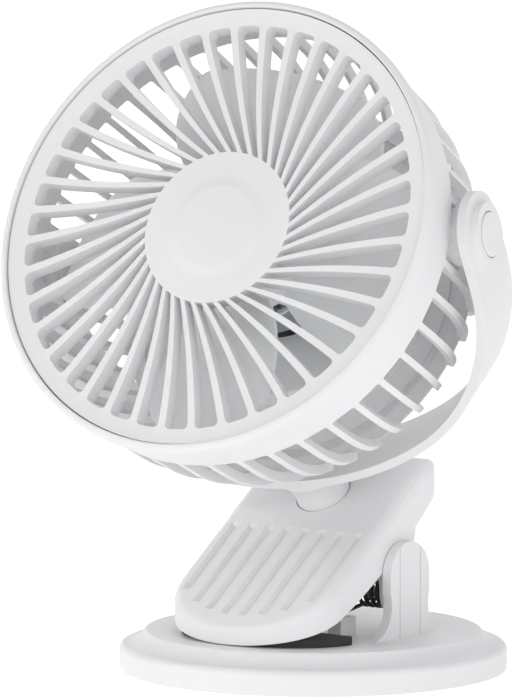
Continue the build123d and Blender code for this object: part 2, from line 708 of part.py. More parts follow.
def upper_jaw():
    block_solid = jaw_block()
    shell = block_solid - jaw_hollow()
    ribs = Part()
    for k in range(PAD_RIB_COUNT):
        x = (k - (PAD_RIB_COUNT - 1) / 2) * PAD_RIB_PITCH
        half = PAD_RIB_THICKNESS / 2
        ribs += block(x - half, x + half, JAW_FRONT_Y + JAW_WALL / 2, JAW_PAD_REAR, 0, EAR_TOP * 2)
    ribs = ribs & block_solid
    ribs -= pad_band(PAD_THICKNESS - PAD_PROUD, 10, JAW_FRONT_Y - 5, JAW_PAD_REAR + 5, JAW_HALF_WIDTH)
    boss = SEAT_FRAME * rod(SWIVEL_BOSS_RADIUS, -SWIVEL_FLOOR, COLLAR_TOP_RADIUS) & block_solid
    well = rod(SEAT_RADIUS, -SWIVEL_WASHER_THICKNESS, COLLAR_TOP_RADIUS)
    hole = rod(SHOULDER_RADIUS + RUNNING_FIT, -SWIVEL_FLOOR - 1, 0)
    jaw = shell + ribs + boss + lug(1) + lug(-1)
    return jaw - groove_cutters() - SEAT_FRAME * (well + hole)


def upper_jaw_pad():
    band = pad_band(PAD_THICKNESS - PAD_PROUD, PAD_PROUD, JAW_PAD_FRONT, JAW_PAD_REAR, JAW_HALF_WIDTH)
    band &= jaw_plan(JAW_WALL + SEAM)
    floor = BASE_TOP + LOWER_PAD_THICKNESS + SOFT_GAP
    return band - block(-BASE_RADIUS, BASE_RADIUS, -BASE_RADIUS, BASE_RADIUS, -5, floor)


# ---- Swivel ---------------------------------------------------------------------------------------------------
def swivel_washer():
    return tube(COLLAR_FOOT_RADIUS - 0.6, SHOULDER_RADIUS + SLIDE_FIT, -SWIVEL_WASHER_THICKNESS, 0)


def steel_washer():
    low = -SWIVEL_FLOOR - STEEL_WASHER_THICKNESS
    return tube(STEEL_WASHER_RADIUS, SHOULDER_RADIUS + SLIDE_FIT, low, -SWIVEL_FLOOR)


def swivel_screw():
    """Shoulder screw that goes up through the jaw's boss into the yoke's collar."""
    under_head = -SWIVEL_FLOOR - STEEL_WASHER_THICKNESS
    body = rod(SHOULDER_RADIUS, under_head, 0) + rod(THREAD_RADIUS, -0.5, THREAD_LENGTH)
    body += rod(SWIVEL_HEAD_RADIUS, under_head - SWIVEL_HEAD_HEIGHT, under_head)
    socket = extrude(RegularPolygon(SWIVEL_SOCKET_RADIUS, 6), 2 * SWIVEL_SOCKET_DEPTH)
    return body - Pos(0, 0, under_head - SWIVEL_HEAD_HEIGHT - SWIVEL_SOCKET_DEPTH) * socket


# ---- Yoke -----------------------------------------------------------------------------------------------------
def arm_outline():
    """Side view of the yoke: a straight band as wide as the round end of each arm."""
    half = YOKE_WIDTH / 2
    low = -PIVOT_RISE
    return side_slab([
        Line((-half, low), (half, low)),
        Line((half, low), (half, 0)),
        ThreePointArc((half, 0), (0, BOSS_RADIUS), (-half, 0)),
        Line((-half, 0), (-half, low)),
    ], -BOSS_FACE - 1, BOSS_FACE + 1)


def yoke_core(inset):
    """What the U encloses, inset from its outside: straight arms, corner arcs and a flatter bottom arc."""
    rise = YOKE_BOTTOM_ARC - YOKE_DROP
    span = rise + ARM_STRAIGHT
    corner = (YOKE_BOTTOM_ARC ** 2 - BOSS_FACE ** 2 - span ** 2) / (2 * (YOKE_BOTTOM_ARC - BOSS_FACE))
    centre = BOSS_FACE - corner
    turn = atan2(centre, span)
    wide = YOKE_BOTTOM_ARC - inset
    tight = corner - inset
    side = BOSS_FACE - inset
    touch = (wide * sin(turn), rise - wide * cos(turn))
    bend = (pi / 2 + turn) / 2
    knee = (centre + tight * sin(bend), -ARM_STRAIGHT - tight * cos(bend))
    face = make_face([Plane.XZ * line for line in (
        Line((-side, BOSS_RADIUS + 1), (-side, -ARM_STRAIGHT)),
        ThreePointArc((-side, -ARM_STRAIGHT), (-knee[0], knee[1]), (-touch[0], touch[1])),
        ThreePointArc((-touch[0], touch[1]), (0, rise - wide), touch),
        ThreePointArc(touch, knee, (side, -ARM_STRAIGHT)),
        Line((side, -ARM_STRAIGHT), (side, BOSS_RADIUS + 1)),
        Line((side, BOSS_RADIUS + 1), (-side, BOSS_RADIUS + 1)),
    )])
    return extrude(face, BOSS_RADIUS + 1, both=True)


def yoke():
    hollow = yoke_core(YOKE_THICKNESS)
    band = (yoke_core(0) - hollow) & arm_outline()
    foot = -PIVOT_RISE
    neck = foot + COLLAR_HEIGHT
    top = YOKE_THICKNESS - YOKE_DROP + 2
    ankle = (COLLAR_FOOT_RADIUS, foot + COLLAR_STRAIGHT)
    waist = (COLLAR_FOOT_RADIUS + COLLAR_NECK_FLARE, foot + COLLAR_NECK_RISE)
    flare = [
        Line((0, foot), (COLLAR_FOOT_RADIUS, foot)),
        Line((COLLAR_FOOT_RADIUS, foot), ankle),
        ThreePointArc(ankle, waist, (COLLAR_TOP_RADIUS, neck)),
        Line((COLLAR_TOP_RADIUS, neck), (COLLAR_TOP_RADIUS, top)),
        Line((COLLAR_TOP_RADIUS, top), (0, top)),
        Line((0, top), (0, foot)),
    ]
    collar = revolve(make_face([Plane.XZ * line for line in flare]), Axis.Z)
    body = band + (collar - hollow)
    for side in (-1, 1):
        low, high = sorted((side * (BOSS_FACE - 1), side * (BOSS_FACE + PLATEAU_RISE)))
        body += cross_rod(PLATEAU_RADIUS, low, high)
        body -= boss_cuts(side)
    return body - rod(THREAD_RADIUS + SCREW_FIT, foot - 1, foot + THREAD_LENGTH + SCREW_END_ROOM)


def boss_cuts(side):
    """What is taken out of an arm's boss: the cap's seat and the stud's bore."""
    far = BOSS_FACE + PLATEAU_RISE + 1
    cuts = cross_rod(CAP_RADIUS + 2 * SEAM, cap_seat(), far)
    cuts += cross_rod(STUD_RADIUS + RUNNING_FIT, BOSS_INNER - 1, far)
    return cuts if side > 0 else mirror(cuts, Plane.YZ)


def cap_seat():
    return BOSS_FACE + PLATEAU_RISE - CAP_SEAT_DEPTH


def pivot_cap(side):
    cap = cross_rod(CAP_RADIUS, cap_seat(), cap_seat() + CAP_THICKNESS)
    cap = fillet(cap.edges().sort_by(Axis.X)[-1], SOFT_ROUND)
    return cap if side > 0 else mirror(cap, Plane.YZ)


def pivot_stud(side):
    inner = INNER_BOSS_FACE - STUD_FLANGE_THICKNESS
    stud = cross_rod(STUD_FLANGE_RADIUS, inner, INNER_BOSS_FACE)
    stud += cross_rod(STUD_RADIUS, INNER_BOSS_FACE - 0.5, cap_seat() - FACE_GAP)
    stud -= cross_rod(STUD_BORE_RADIUS, inner - 1, cap_seat() + 1)
    return stud if side > 0 else mirror(stud, Plane.YZ)


def pivot_washer(side):
    washer = cross_rod(WASHER_RADIUS, PAD_FACE, PAD_FACE + WASHER_THICKNESS)
    washer -= cross_rod(STUD_RADIUS + SLIDE_FIT, PAD_FACE - 1, BOSS_INNER + 1)
    return washer if side > 0 else mirror(washer, Plane.YZ)


# ---- Fan head: housing ----------------------------------------------------------------------------------------
def housing_profile(inset):
    """Turned profile of the housing, inset from its outside: straight sides, ball shoulder and flat rear."""
    ball = HOUSING_RADIUS - inset
    shoulder = HOUSING_SHOULDER + inset / 2
    rear = HOUSING_REAR + inset
    shoulder_radius = sqrt(ball ** 2 - shoulder ** 2)
    rear_radius = HOUSING_REAR_RADIUS - inset / 2
    front = (HOUSING_FRONT_RADIUS - inset, HOUSING_FRONT)
    waist = (HOUSING_WAIST_RADIUS - inset, WINDOW_FRONT)
    middle = (ball * cos(asin(shoulder / 2 / ball)), shoulder / 2)
    bend = ((shoulder_radius + rear_radius) / 2 + SHOULDER_BULGE, (shoulder + rear) / 2 - SHOULDER_DROP)
    lines = [
        Line((0, HOUSING_FRONT), front),
        Line(front, waist),
        Line(waist, (ball, 0)),
        ThreePointArc((ball, 0), middle, (shoulder_radius, shoulder)),
        ThreePointArc((shoulder_radius, shoulder), bend, (rear_radius, rear)),
        Line((rear_radius, rear), (0, rear)),
        Line((0, rear), (0, HOUSING_FRONT)),
    ]
    return revolve(make_face([Plane.XZ * line for line in lines]), Axis.Z)


def wedge(inner, outer, width):
    """Sector between two neighbouring ribs of the given width, its sides parallel to the ribs."""
    half_pitch = 180.0 / WINDOW_COUNT
    corners = []
    for radius, sign in ((inner, -1), (outer, -1), (outer, 1), (inner, 1)):
        angle = half_pitch - degrees(asin(width / 2 / radius))
        corners.append(polar(radius, sign * angle))
    return make_face(Polyline(*corners, close=True))


def side_wedge():
    """Wedge between two side ribs that runs from inside the rear ring to outside the housing."""
    inner = REAR_PLATE_RADIUS + SIDE_RIB_WIDTH / 4
    return wedge(inner, HOUSING_RADIUS + 3 * HOUSING_WALL, SIDE_RIB_WIDTH)


def window_cutter():
    outline = side_wedge()
    prism = extrude(Pos(0, 0, WINDOW_REAR) * outline, WINDOW_FRONT - WINDOW_REAR)
    flat = [edge for edge in prism.edges() if abs((edge @ 0).Z - (edge @ 1).Z) < 0.01]
    flat = [edge for edge in flat if edge.length > (HOUSING_RADIUS - REAR_PLATE_RADIUS) / 2]
    return fillet(flat, WINDOW_ROUND)


def rear_housing():
    outer = housing_profile(0)
    shell = outer - housing_profile(HOUSING_WALL)
    shell -= rod(HOUSING_FRONT_RADIUS - HOUSING_WALL, HOUSING_FRONT - 1, HOUSING_FRONT + 1)
    rear_ring_outer = HOUSING_REAR_RADIUS + HOUSING_WALL + SOFT_ROUND
    shell += tube(rear_ring_outer, REAR_RING_INNER, HOUSING_REAR, WINDOW_REAR) & outer
    window = window_cutter()
    behind = Pos(0, 0, HOUSING_REAR - 1)
    scallop = extrude(behind * side_wedge(), WINDOW_REAR + SCALLOP_LAP - HOUSING_REAR)
    scallop = scallop - housing_profile(RIB_STAND)
    half_pitch = 180.0 / WINDOW_COUNT
    cuts = [Rot(0, 0, angle + half_pitch) * tool
            for angle in around(WINDOW_COUNT, WINDOW_PHASE) for tool in (window, scallop)]
    shell = shell - cuts
    plate_face = HOUSING_REAR + HOUSING_WALL
    groove_outer = REAR_GROOVE_RADIUS + REAR_GROOVE_WIDTH
    shell -= tube(groove_outer, REAR_GROOVE_RADIUS, plate_face - REAR_GROOVE_DEPTH, plate_face)
    shell -= rod(COMPARTMENT_RADIUS, HOUSING_REAR - 1, HOUSING_REAR + HOUSING_WALL + 1)
    for side in (-1, 1):
        low, high = sorted((side * INNER_BOSS_FACE, side * PAD_FACE))
        shell += cross_rod(PAD_RADIUS, low, high)
        low, high = sorted((side * (INNER_BOSS_FACE - 1), side * (PAD_FACE + 1)))
        shell -= cross_rod(STUD_RADIUS + SCREW_FIT, low, high)
    groove_floor = HOUSING_FRONT - TONGUE_DEPTH - SEAM
    shell -= tube(TONGUE_OUTER + SEAM, TONGUE_INNER - SEAM, groove_floor, HOUSING_FRONT + 1)
    for x, y in rear_screw_places():
        shell -= rod(SCREW_RADIUS + SLIDE_FIT, HOUSING_REAR - 1, HOUSING_REAR + HOUSING_WALL + 1, x, y)
    return shell


def rear_screw_places():
    return [polar(REAR_SCREW_CIRCLE, angle) for angle in around(REAR_SCREW_COUNT, 45)]


def front_ring():
    """Bezel ring round the grille, rounded outside, with a tongue that snaps into the housing."""
    inner = RING_RADIUS - RING_WALL
    round_radius = RING_RADIUS - RING_ROUND
    side_top = (RING_RADIUS, RING_FRONT - RING_ROUND)
    lip = (inner, RING_FRONT - RING_LIP_DROP)
    root = HOUSING_FRONT - TONGUE_DEPTH
    lines = [
        Line((inner, HOUSING_FRONT), (TONGUE_INNER, HOUSING_FRONT)),
        Line((TONGUE_INNER, HOUSING_FRONT), (TONGUE_INNER, root)),
        Line((TONGUE_INNER, root), (TONGUE_OUTER, root)),
        Line((TONGUE_OUTER, root), (TONGUE_OUTER, HOUSING_FRONT)),
        Line((TONGUE_OUTER, HOUSING_FRONT), (RING_RADIUS, HOUSING_FRONT)),
        Line((RING_RADIUS, HOUSING_FRONT), side_top),
        RadiusArc(side_top, (round_radius, RING_FRONT), -RING_ROUND),
        Line((round_radius, RING_FRONT), lip),
        Line(lip, (inner, HOUSING_FRONT)),
    ]
    return revolve(make_face([Plane.XZ * line for line in lines]), Axis.Z)


# ---- Fan head: grille -----------------------------------------------------------------------------------------
def rib_edge(index, side):
    """One edge of a curved rib as an arc, side -1 clockwise and +1 anticlockwise of its centre line."""
    pitch = 360.0 / SLOT_COUNT
    stations = [
        (HUB_RADIUS, RIB_START_ANGLE, RIB_INNER_WIDTH, 0.80),
        (RIB_MIDDLE_RADIUS, RIB_MIDDLE_ANGLE, RIB_MIDDLE_WIDTH, 0.94),
        (SLOT_OUTER_RADIUS, RIB_END_ANGLE, RIB_OUTER_WIDTH, 0.995),
    ]
    points = []
    for radius, angle, width, slant in stations:
        offset = degrees(width / 2 / radius / slant)
        points.append(polar(radius, angle + index * pitch + side * offset))
    return points


def slot_cutter():
    """Opening between two neighbouring ribs, with rounded outer corners."""
    first = rib_edge(0, 1)
    second = rib_edge(1, -1)
    middle_angle = (atan2(first[2][1], first[2][0]) + atan2(second[2][1], second[2][0])) / 2
    inner_angle = (atan2(first[0][1], first[0][0]) + atan2(second[0][1], second[0][0])) / 2
    lines = [
        ThreePointArc(*first),
        ThreePointArc(first[2], polar(SLOT_OUTER_RADIUS, degrees(middle_angle)), second[2]),
        ThreePointArc(*reversed(second)),
        ThreePointArc(second[0], polar(HUB_RADIUS, degrees(inner_angle)), first[0]),
    ]
    prism = extrude(Pos(0, 0, HUB_FRONT - 15) * make_face(lines), 25)
    upright = prism.edges().filter_by(Axis.Z)
    outer = sorted(upright, key=lambda edge: -hypot((edge @ 0).X, (edge @ 0).Y))[:2]
    return fillet(outer, SLOT_CORNER)


def front_grille():
    rim_radius = RING_RADIUS - RING_WALL - GRILLE_RIM_SEAM
    skirt = HOUSING_WAIST_RADIUS - HOUSING_WALL - SEAM
    hub_seat = CAP_DISC_RADIUS + SEAM
    back = SLOT_OUTER_FRONT - RIB_DEPTH
    rim_under = HOUSING_FRONT - GRILLE_RIM_UNDER
    disc = turned([
        (0, HUB_FRONT - CAP_DISC_SEAT),
        (hub_seat, HUB_FRONT - CAP_DISC_SEAT),
        (hub_seat, HUB_FRONT),
        (HUB_RADIUS, HUB_FRONT),
        (SLOT_OUTER_RADIUS, SLOT_OUTER_FRONT),
        (rim_radius, GRILLE_RIM_FRONT),
        (rim_radius, HOUSING_FRONT),
        (skirt, HOUSING_FRONT),
        (skirt, HOUSING_FRONT - GRILLE_SKIRT_DEPTH),
        (skirt - GRILLE_WALL, HOUSING_FRONT - GRILLE_SKIRT_DEPTH),
        (skirt - GRILLE_WALL, rim_under),
        (SLOT_OUTER_RADIUS + GRILLE_WALL / 2, rim_under),
        (SLOT_OUTER_RADIUS + GRILLE_WALL / 2, back),
        (HUB_RADIUS, HUB_FRONT - RIB_DEPTH),
        (HUB_RADIUS - GRILLE_WALL, HUB_FRONT - RIB_DEPTH),
        (HUB_RADIUS - GRILLE_WALL, HUB_FRONT - HUB_THICKNESS),
        (0, HUB_FRONT - HUB_THICKNESS),
    ])
    slot = slot_cutter()
    return disc - [Rot(0, 0, angle) * slot for angle in around(SLOT_COUNT)]


def hub_cap():
    seat = HUB_FRONT - CAP_DISC_SEAT
    disc = rod(CAP_DISC_RADIUS, seat, HUB_FRONT + CAP_DISC_RAISE)
    return fillet(disc.edges().group_by(Axis.Z)[-1], CAP_DISC_RAISE * 0.9)


# ---- Impeller -------------------------------------------------------------------------------------------------
def blade_outline():
    """Plan of a blade about +X: swept trailing edge, well rounded leading corner."""
    far_radius = BLADE_TIP_RADIUS + BLADE_OVERREACH
    radii = (IMPELLER_HUB_RADIUS - IMPELLER_HUB_WALL / 2, BLADE_MIDDLE_RADIUS, far_radius)
    trail = [polar(radius, angle) for radius, angle in zip(radii, TRAIL_ANGLES)]
    lead = [polar(radius, angle) for radius, angle in zip(radii, LEAD_ANGLES)]
    lines = [
        ThreePointArc(*trail),
        ThreePointArc(trail[2], polar(far_radius, 0), lead[2]),
        ThreePointArc(*reversed(lead)),
        Line(lead[0], trail[0]),
    ]
    prism = extrude(Pos(0, 0, -BLADE_HALF_DEPTH) * make_face(lines), 2 * BLADE_HALF_DEPTH)
    prism &= rod(BLADE_TIP_RADIUS, -BLADE_HALF_DEPTH, BLADE_HALF_DEPTH)
    upright = prism.edges().filter_by(Axis.Z)
    far = sorted(upright, key=lambda edge: -hypot((edge @ 0).X, (edge @ 0).Y))[:2]
    prism = fillet(min(far, key=lambda edge: (edge @ 0).Y), BLADE_LEAD_CORNER)
    upright = sorted(prism.edges().filter_by(Axis.Z), key=lambda edge: -(edge @ 0).Y)
    tips = [edge for edge in upright if hypot((edge @ 0).X, (edge @ 0).Y) > BLADE_TIP_RADIUS - 0.1]
    return fillet(tips[0], BLADE_TRAIL_CORNER)


def blade():
    """Twisted slab about +X, leading side low, trimmed to its plan."""
    sections = []
    root, tip = IMPELLER_HUB_RADIUS / 2, BLADE_TIP_RADIUS + BLADE_OVERREACH
    for radius, pitch in ((root, BLADE_ROOT_PITCH), (tip, BLADE_TIP_PITCH)):
        place = Plane(origin=(radius, 0, BLADE_MID_Z), x_dir=(0, 1, 0), z_dir=(1, 0, 0))
        sections.append(place * Rot(0, 0, pitch) * Rectangle(2 * BLADE_TIP_RADIUS, BLADE_THICKNESS))
    return loft(sections, ruled=True) & blade_outline()


def impeller():
    hub = rod(IMPELLER_HUB_RADIUS, IMPELLER_HUB_REAR, IMPELLER_HUB_FRONT)
    hub = fillet(hub.edges().group_by(Axis.Z)[-1], IMPELLER_HUB_ROUND)
    body = hub
    single = blade() & rod(BLADE_TIP_RADIUS + 1, IMPELLER_HUB_REAR - 10, IMPELLER_HUB_FRONT + 10)
    for angle in around(BLADE_COUNT, BLADE_PHASE):
        body += Rot(0, 0, angle) * single
    inside = IMPELLER_HUB_RADIUS - IMPELLER_HUB_WALL
    ceiling = IMPELLER_HUB_FRONT - IMPELLER_HUB_WALL
    body -= rod(inside, IMPELLER_HUB_REAR - 20, ceiling)
    body += rod(BORE_BOSS_RADIUS, IMPELLER_HUB_REAR + 2, ceiling + 0.5)
    return body - rod(SHAFT_RADIUS + SCREW_FIT, IMPELLER_HUB_REAR - 1, ceiling - 0.5)


def motor_shaft():
    return rod(SHAFT_RADIUS, MOTOR_SPLIT, IMPELLER_HUB_FRONT - IMPELLER_HUB_WALL - 0.8)


# ---- Motor, bracket and rear compartment ----------------------------------------------------------------------
def motor_can():
    can = rod(MOTOR_RADIUS, MOTOR_SPLIT, MOTOR_FRONT)
    can = fillet(can.edges().group_by(Axis.Z)[-1], 1.5)
    can += rod(MOTOR_NOSE_RADIUS, MOTOR_FRONT - 0.5, MOTOR_FRONT + MOTOR_NOSE_HEIGHT)
    return can - rod(SHAFT_RADIUS + RUNNING_FIT, MOTOR_SPLIT - 1, MOTOR_FRONT + MOTOR_NOSE_HEIGHT + 1)


def motor_screw_places():
    return [(0, MOTOR_SCREW_CIRCLE), (0, -MOTOR_SCREW_CIRCLE)]


def motor_endbell():
    bell = rod(MOTOR_RADIUS, POT_FRONT, MOTOR_SPLIT)
    for x, y in motor_screw_places():
        bell -= rod(SCREW_RADIUS + SCREW_FIT, POT_FRONT - 1, MOTOR_SPLIT - SCREW_TIP_COVER, x, y)
    return bell


def motor_bracket():
    """Pot that closes the compartment in front and carries the motor, with a flange under the housing's rear."""
    seat = HOUSING_REAR + HOUSING_WALL
    back = POT_FRONT - POT_THICKNESS
    pot = rod(COMPARTMENT_RADIUS + POT_WALL, seat, POT_FRONT)
    pot = fillet(pot.edges().group_by(Axis.Z)[-1], 1.5)
    pot += rod(POT_FLANGE_RADIUS, seat, seat + POT_THICKNESS)
    for x, y in rear_screw_places():
        pot += rod(SCREW_BOSS_RADIUS, seat, rear_screw_tip() + SCREW_TIP_COVER + SCREW_END_ROOM, x, y)
    pot -= rod(COMPARTMENT_RADIUS, seat - 1, back)
    for x, y in rear_screw_places():
        pot -= rod(SCREW_RADIUS + SCREW_FIT, seat - 1, rear_screw_tip() + SCREW_END_ROOM, x, y)
    for x, y in motor_screw_places():
        pot -= rod(SCREW_RADIUS + SLIDE_FIT, back - 1, POT_FRONT + 1, x, y)
    return pot


def motor_screws():
    head = POT_FRONT - POT_THICKNESS - SCREW_HEAD_HEIGHT
    screw = driven_screw(head, MOTOR_SPLIT - SCREW_TIP_COVER - SCREW_END_ROOM)
    return Compound(children=[Pos(x, y, 0) * screw for x, y in motor_screw_places()])


COVER_INNER_FACE = REAR_COVER_FACE + REAR_COVER_WALL
BOARD_REAR = COVER_INNER_FACE + BOARD_STANDOFF
BATTERY_Z = COVER_INNER_FACE + BATTERY_RADIUS + FACE_GAP
USB_MOUTH_Y = -COMPARTMENT_RADIUS + 1.0


def rear_screw_head():
    return HOUSING_REAR - REAR_FLANGE_THICKNESS


def rear_screw_tip():
    return rear_screw_head() + REAR_SCREW_LENGTH


def rear_cover():
    """Round cover over the battery and the circuit board, screwed to the housing through its flange."""
    wall_radius = COMPARTMENT_RADIUS + REAR_COVER_WALL
    body = rod(wall_radius, REAR_COVER_FACE, HOUSING_REAR)
    body = fillet(body.edges().group_by(Axis.Z)[0], REAR_COVER_ROUND)
    flange = rod(REAR_FLANGE_RADIUS, rear_screw_head(), HOUSING_REAR)
    body += fillet(flange.edges().group_by(Axis.Z)[0], 1.0)
    hollow = rod(COMPARTMENT_RADIUS, COVER_INNER_FACE, HOUSING_REAR + 1)
    body -= fillet(hollow.edges().group_by(Axis.Z)[0], REAR_COVER_ROUND - REAR_COVER_WALL)
    for side in (-1, 1):
        body += rod(POST_RADIUS, COVER_INNER_FACE - 0.5, BOARD_REAR, side * POST_X, POST_Y)
    for x, y in rear_screw_places():
        body -= rod(SCREW_RADIUS + SLIDE_FIT, rear_screw_head() - 1, HOUSING_REAR + 1, x, y)
        body -= rod(SCREW_HEAD_RADIUS + SLIDE_FIT, rear_screw_head() - 1, rear_screw_head() + SCREW_HEAD_HEIGHT, x, y)
    body -= rod(BUTTON_RADIUS + SLIDE_FIT, REAR_COVER_FACE - 1, COVER_INNER_FACE + 1, 0, SWITCH_Y)
    body -= rod(LED_RADIUS + SCREW_FIT, REAR_COVER_FACE - 1, COVER_INNER_FACE + 1, LED_X, SWITCH_Y)
    gap = 0.3
    body -= block(-USB_WIDTH / 2 - gap, USB_WIDTH / 2 + gap, -wall_radius - 1, USB_MOUTH_Y + 2,
                  BOARD_REAR - USB_HEIGHT - gap, BOARD_REAR + gap)
    return body


def rear_screws():
    screw = driven_screw(rear_screw_head(), rear_screw_tip())
    return Compound(children=[Pos(x, y, 0) * screw for x, y in rear_screw_places()])


def battery_cell():
    half = BATTERY_LENGTH / 2
    cell = cross_rod(BATTERY_RADIUS, -half, half - BATTERY_TERMINAL_HEIGHT, 0, BATTERY_Z)
    return cell + cross_rod(BATTERY_TERMINAL_RADIUS, half - BATTERY_TERMINAL_HEIGHT - 1, half, 0, BATTERY_Z)


def circuit_board():
    """Board with the push switch and the lamp that face the rear cover."""
    board = block(-BOARD_WIDTH / 2, BOARD_WIDTH / 2, BOARD_BOTTOM_Y, BOARD_TOP_Y, BOARD_REAR,
                  BOARD_REAR + BOARD_THICKNESS)
    half = SWITCH_SIZE / 2
    stem_end = button_front() + BUTTON_TRAVEL + FACE_GAP
    board += block(-half, half, SWITCH_Y - half, SWITCH_Y + half, stem_end + 0.8, BOARD_REAR)
    board += rod(SWITCH_STEM_RADIUS, stem_end, BOARD_REAR, 0, SWITCH_Y)
    board += block(LED_X - 1.2, LED_X + 1.2, SWITCH_Y - 1, SWITCH_Y + 1, BOARD_REAR - 0.8, BOARD_REAR)
    return board


def usb_port():
    """Thin metal sleeve with its tongue, open towards the cover's edge."""
    half = USB_WIDTH / 2
    low = BOARD_REAR - USB_HEIGHT
    inner_end = USB_MOUTH_Y + USB_DEPTH
    sleeve = block(-half, half, USB_MOUTH_Y, inner_end, low, BOARD_REAR)
    sleeve = fillet(sleeve.edges().filter_by(Axis.Y), USB_HEIGHT / 2 - 0.3)
    cavity = block(-half + USB_SKIN, half - USB_SKIN, USB_MOUTH_Y - 1, inner_end - 1, low + USB_SKIN,
                   BOARD_REAR - USB_SKIN)
    sleeve -= fillet(cavity.edges().filter_by(Axis.Y), USB_HEIGHT / 2 - 0.3 - USB_SKIN)
    middle = (low + BOARD_REAR) / 2
    return sleeve + block(-half + 1.3, half - 1.3, USB_MOUTH_Y + 1, inner_end - 0.5, middle - 0.35, middle + 0.35)


def led_lens():
    return rod(LED_RADIUS, REAR_COVER_FACE, BOARD_REAR - 0.8 - FACE_GAP, LED_X, SWITCH_Y)


def button_front():
    """Height of the inner face of the button's flange at rest."""
    return COVER_INNER_FACE + FACE_GAP + BUTTON_FLANGE


def power_button():
    cap = rod(BUTTON_RADIUS, REAR_COVER_FACE - BUTTON_PROUD, COVER_INNER_FACE + FACE_GAP + 0.2, 0, SWITCH_Y)
    cap = fillet(cap.edges().group_by(Axis.Z)[0], 0.6)
    return cap + rod(BUTTON_RADIUS + BUTTON_FLANGE_LIP, COVER_INNER_FACE + FACE_GAP, button_front(), 0, SWITCH_Y)


# ---- Writing the pieces ---------------------------------------------------------------------------------------
spring = torsion_spring()
save(base_shell(), "base_shell")
save(base_cover(), "base_bottom_cover")
save(foot_pad(), "foot_pad")
save(base_screws(), "base_screws")
save(lower_jaw_pad(), "lower_jaw_pad")
save(hinge_pin(), "hinge_pin")
save(spring, "torsion_spring_right")
save(mirror(spring, Plane.YZ), "torsion_spring_left")
save(upper_jaw(), "upper_jaw")
save(upper_jaw_pad(), "upper_jaw_pad")
save(swivel_washer(), "swivel_washer", SEAT_FRAME)
save(steel_washer(), "swivel_steel_washer", SEAT_FRAME)
save(swivel_screw(), "swivel_screw", SEAT_FRAME)
save(yoke(), "yoke", YOKE_FRAME)
for label, side in (("left", -1), ("right", 1)):
    save(pivot_cap(side), f"pivot_cap_{label}", YOKE_FRAME)
    save(pivot_stud(side), f"pivot_stud_{label}", HEAD_FRAME)
    save(pivot_washer(side), f"pivot_washer_{label}", HEAD_FRAME)
save(rear_housing(), "rear_housing", HEAD_FRAME)
save(front_ring(), "front_ring", HEAD_FRAME)
save(front_grille(), "front_grille", HEAD_FRAME)
save(hub_cap(), "hub_cap", HEAD_FRAME)
save(motor_bracket(), "motor_bracket", HEAD_FRAME)
save(motor_can(), "motor_can", HEAD_FRAME)
save(motor_endbell(), "motor_endbell", HEAD_FRAME)
save(motor_screws(), "motor_screws", HEAD_FRAME)
save(battery_cell(), "battery_cell", HEAD_FRAME)
save(circuit_board(), "circuit_board", HEAD_FRAME)
save(usb_port(), "usb_port", HEAD_FRAME)
save(led_lens(), "led_lens", HEAD_FRAME)
save(rear_cover(), "rear_cover", HEAD_FRAME)
save(rear_screws(), "rear_screws", HEAD_FRAME)
save(power_button(), "power_button", HEAD_FRAME)
save(impeller(), "impeller", HEAD_FRAME)
save(motor_shaft(), "motor_shaft", HEAD_FRAME)
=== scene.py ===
"""Looks of a small white clip fan: softened moulded shells, a ribbed grille, rubber and springs.

Metres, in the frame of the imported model: +Z up, the fan and the clip's mouth facing -Y.
"""

import json
import math

import bmesh
import bpy
from mathutils import Matrix, Vector


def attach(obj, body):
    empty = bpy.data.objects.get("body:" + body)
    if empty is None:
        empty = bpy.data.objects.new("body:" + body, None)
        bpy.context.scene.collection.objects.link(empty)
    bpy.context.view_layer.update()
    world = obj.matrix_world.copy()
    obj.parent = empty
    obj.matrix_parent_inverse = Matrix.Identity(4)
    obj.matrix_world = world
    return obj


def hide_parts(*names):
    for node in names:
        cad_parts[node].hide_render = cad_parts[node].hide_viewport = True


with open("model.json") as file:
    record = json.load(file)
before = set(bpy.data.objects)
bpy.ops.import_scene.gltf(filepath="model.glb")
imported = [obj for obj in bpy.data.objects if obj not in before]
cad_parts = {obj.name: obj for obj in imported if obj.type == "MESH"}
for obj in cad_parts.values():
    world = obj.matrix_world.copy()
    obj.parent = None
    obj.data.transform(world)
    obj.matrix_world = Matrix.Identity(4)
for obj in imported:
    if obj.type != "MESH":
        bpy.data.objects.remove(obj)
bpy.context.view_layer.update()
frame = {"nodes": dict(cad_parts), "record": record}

MM = 0.001

# ---- Measures of the piece, in mm and degrees ----------------------------------------------------
# Softened edges: radius of each moulded piece, and what counts as a sharp edge or as a flat face.
ROUNDED = {
    "base_shell": 0.35,
    "yoke": 0.6,
    "rear_housing": 0.35,
    "front_ring": 0.3,
    "front_grille": 0.35,
    "rear_cover": 0.3,
    "lower_jaw_pad": 0.3,
    "upper_jaw_pad": 0.3,
    "impeller": 0.3,
}
JAW_ROUND = 0.5
ROUND_SEGMENTS = 2
SHARP_ANGLE = 32.0
FLAT_ANGLE = 0.4
WELD = 0.002

# Upper jaw: its sloping top runs through JAW_RIB_END (Y, Z), and its nose is half an ellipse.
JAW_SLOPE = 35.9
JAW_RIB_END = (-8.4, 45.0)
JAW_HALF_WIDTH = 31.0
JAW_NOSE_Y, JAW_NOSE_DEPTH = -27.0, 19.5

# Grip grooves in that top: where their floors lie, and how much deeper the looks show them.
GROOVE_PITCH = 6.9
GROOVE_FLOOR_HALF_WIDTH = 1.1
GROOVE_FLOOR_DEPTHS = (0.7, 1.0)
GROOVE_FIELD_HALF_WIDTH = 26.3
GROOVE_NOSE_GAP = 4.8
GROOVE_DENT = 0.5

